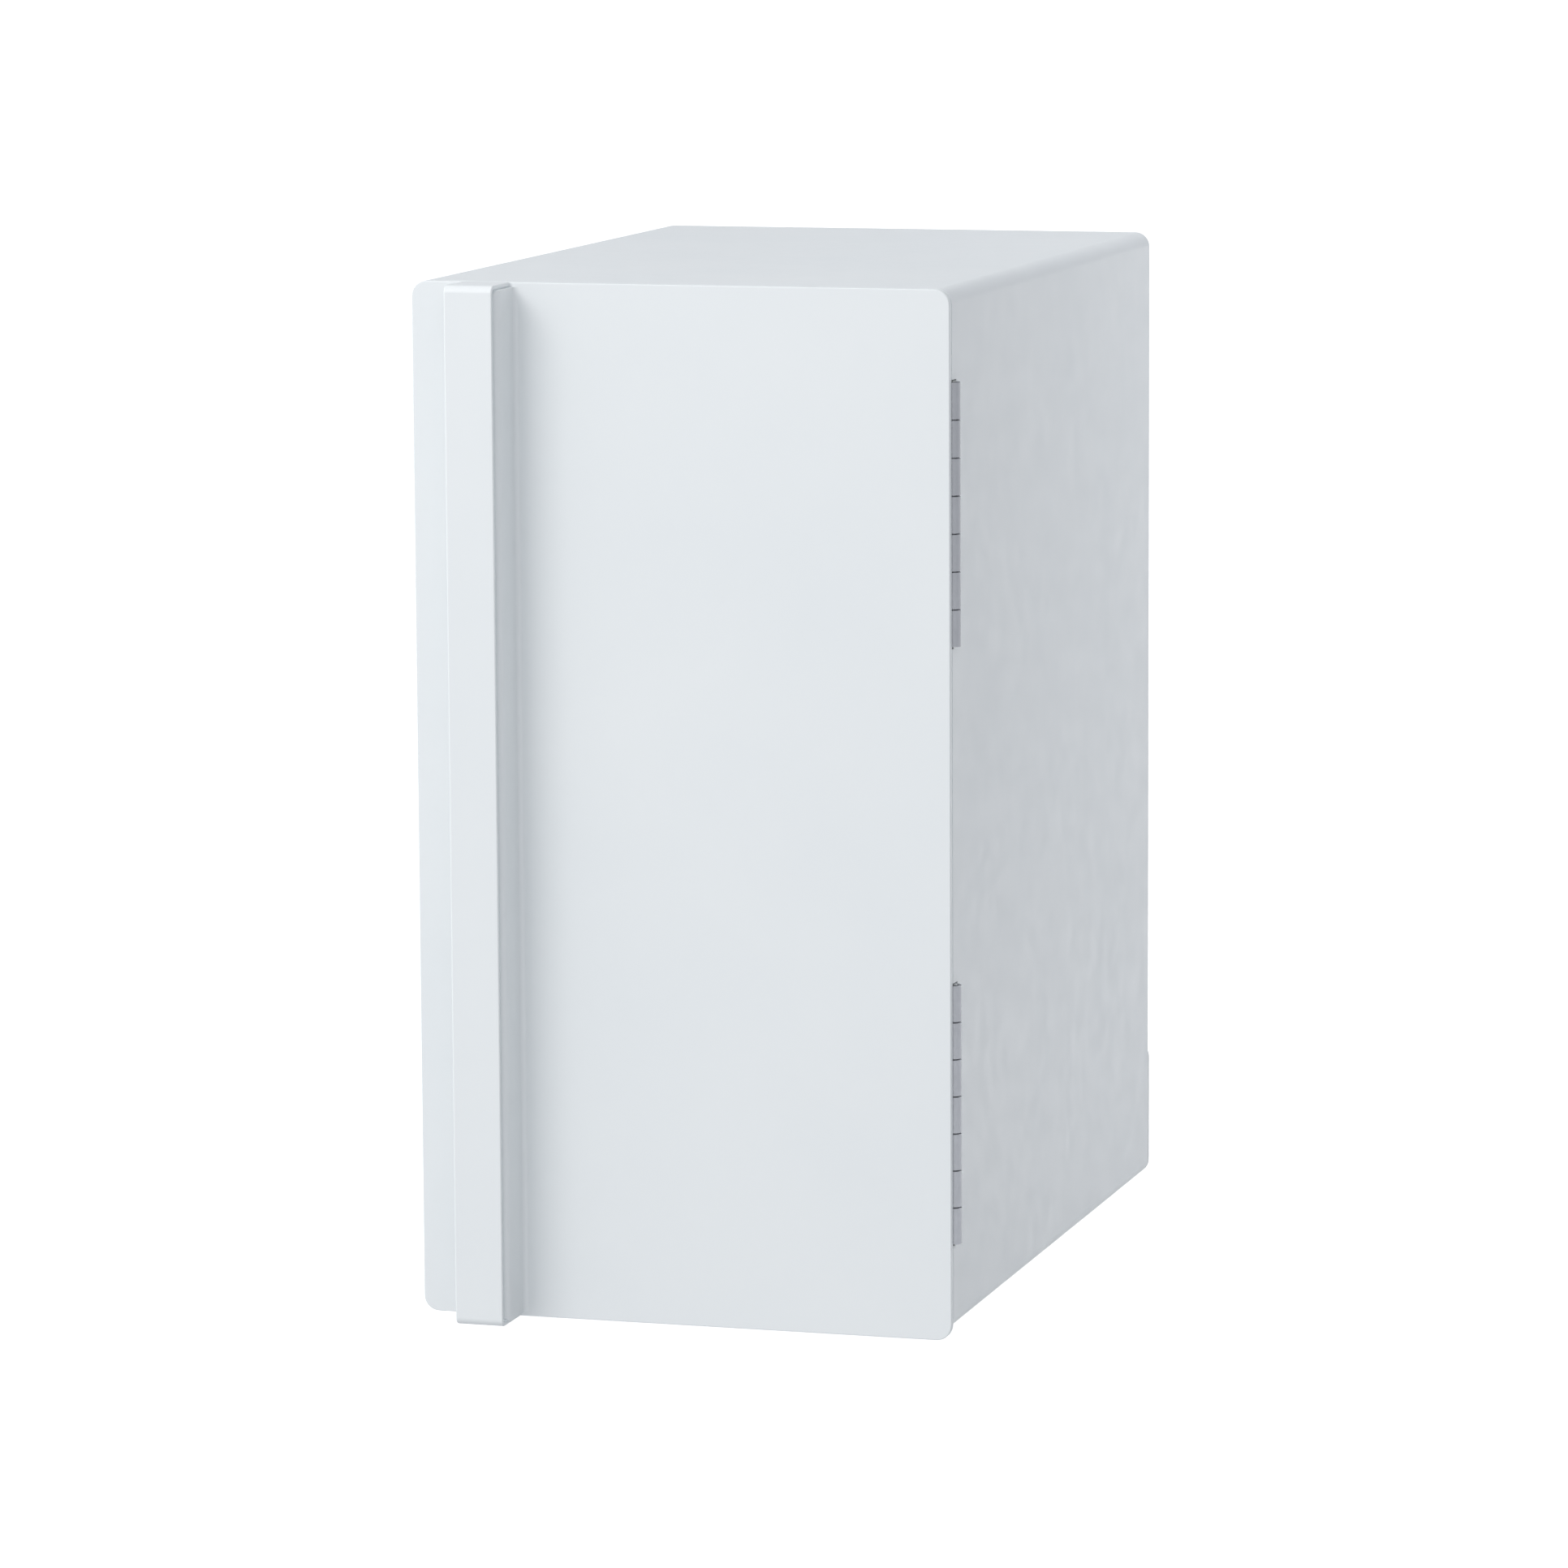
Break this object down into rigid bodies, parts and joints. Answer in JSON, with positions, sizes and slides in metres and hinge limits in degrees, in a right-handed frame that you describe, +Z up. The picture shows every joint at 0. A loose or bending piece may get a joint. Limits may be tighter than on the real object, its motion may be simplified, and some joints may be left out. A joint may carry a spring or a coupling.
{
  "type": "mini fridge",
  "caption": "Slim white steel mini fridge: flat full-height door plate on two exposed side hinges, with a full-height channel pull at the free edge.",
  "frame": {"origin": "on the floor under the middle of the box around the closed fridge", "axes": "+Z up, +Y from the door towards the back, +X towards the hinge side (right, seen from the front)"},
  "size_m": [0.2144, 0.345, 0.406],
  "materials": {
    "powder_coat": "white powder coat on steel sheet, semi-matt",
    "moulded_cover": "white moulded plastic, fine grain",
    "liner_plastic": "white thermoformed liner plastic, satin gloss",
    "seal": "pale grey soft seal",
    "foam": "pale yellow rigid foam",
    "aluminium": "extruded, brushed",
    "ceramic": "white ceramic",
    "black_plastic": "black moulded plastic",
    "zinc_steel": "bright zinc plate",
    "board": "green circuit board",
    "wire_red": "red wire insulation",
    "wire_black": "black wire insulation",
    "foot_rubber": "black rubber",
    "clear_plastic": "clear moulded plastic",
    "lamp_lens": "milky lamp lens",
    "coated_wire": "white coated wire"
  },
  "bodies": {
    "cabinet": {"cabinet_shell": "powder_coat", "front_frame": "powder_coat", "inner_liner": "liner_plastic", "insulation_foam": "foam", "rear_bulkhead": "zinc_steel", "back_panel": "powder_coat", "fan_guard": "zinc_steel", "rear_cover": "moulded_cover", "front_left_foot": "foot_rubber", "front_right_foot": "foot_rubber", "rear_left_foot": "foot_rubber", "rear_right_foot": "foot_rubber", "cold_sink": "aluminium", "cold_block": "aluminium", "peltier_module": "ceramic", "hot_sink": "aluminium", "cold_fan_frame": "black_plastic", "hot_fan_frame": "black_plastic", "air_cover": "liner_plastic", "lamp_lens": "lamp_lens", "thermostat_body": "black_plastic", "power_inlet": "black_plastic", "switch_housing": "black_plastic", "power_board": "board", "transformer": "zinc_steel", "module_lead_red": "wire_red", "module_lead_black": "wire_black", "fan_lead": "wire_black", "upper_shelf": "coated_wire", "lower_shelf": "coated_wire", "upper_hinge_cabinet_leaf": "zinc_steel", "lower_hinge_cabinet_leaf": "zinc_steel", "upper_hinge_pin": "zinc_steel", "lower_hinge_pin": "zinc_steel", "back_panel_screw_1": "zinc_steel", "back_panel_screw_2": "zinc_steel", "back_panel_screw_3": "zinc_steel", "back_panel_screw_4": "zinc_steel", "fan_guard_screw_1": "zinc_steel", "fan_guard_screw_2": "zinc_steel", "fan_guard_screw_3": "zinc_steel", "fan_guard_screw_4": "zinc_steel", "rear_cover_screw_1": "zinc_steel", "rear_cover_screw_2": "zinc_steel"},
    "door": {"door_plate": "powder_coat", "inner_door_panel": "liner_plastic", "door_foam": "foam", "door_gasket": "seal", "lower_door_bin": "clear_plastic", "upper_door_bin": "clear_plastic", "handle_channel": "powder_coat", "handle_web": "powder_coat", "upper_hinge_door_leaf": "zinc_steel", "lower_hinge_door_leaf": "zinc_steel"},
    "cold_fan": {"cold_fan_rotor": "black_plastic"},
    "hot_fan": {"hot_fan_rotor": "black_plastic"},
    "knob": {"thermostat_knob": "liner_plastic"},
    "rocker": {"power_rocker": "black_plastic"}
  },
  "joints": [
    {"name": "door_hinge", "type": "hinge", "parent": "cabinet", "child": "door", "pos_m": [0.1042, -0.1442, 0.206], "axis": [0, 0, 1], "range_deg": [0, 150]},
    {"name": "cold_fan_spin", "type": "hinge", "parent": "cabinet", "child": "cold_fan", "pos_m": [-0.0012, 0.0535, 0.317], "axis": [0, 1, 0], "continuous": true},
    {"name": "hot_fan_spin", "type": "hinge", "parent": "cabinet", "child": "hot_fan", "pos_m": [-0.0012, 0.145, 0.317], "axis": [0, 1, 0], "continuous": true},
    {"name": "knob_turn", "type": "hinge", "parent": "cabinet", "child": "knob", "pos_m": [0.0428, 0.0475, 0.335], "axis": [0, 1, 0], "range_deg": [-135, 135]},
    {"name": "rocker_tip", "type": "hinge", "parent": "cabinet", "child": "rocker", "pos_m": [0.0608, 0.1665, 0.036], "axis": [0, 0, 1], "range_deg": [0, 15]}
  ]
}
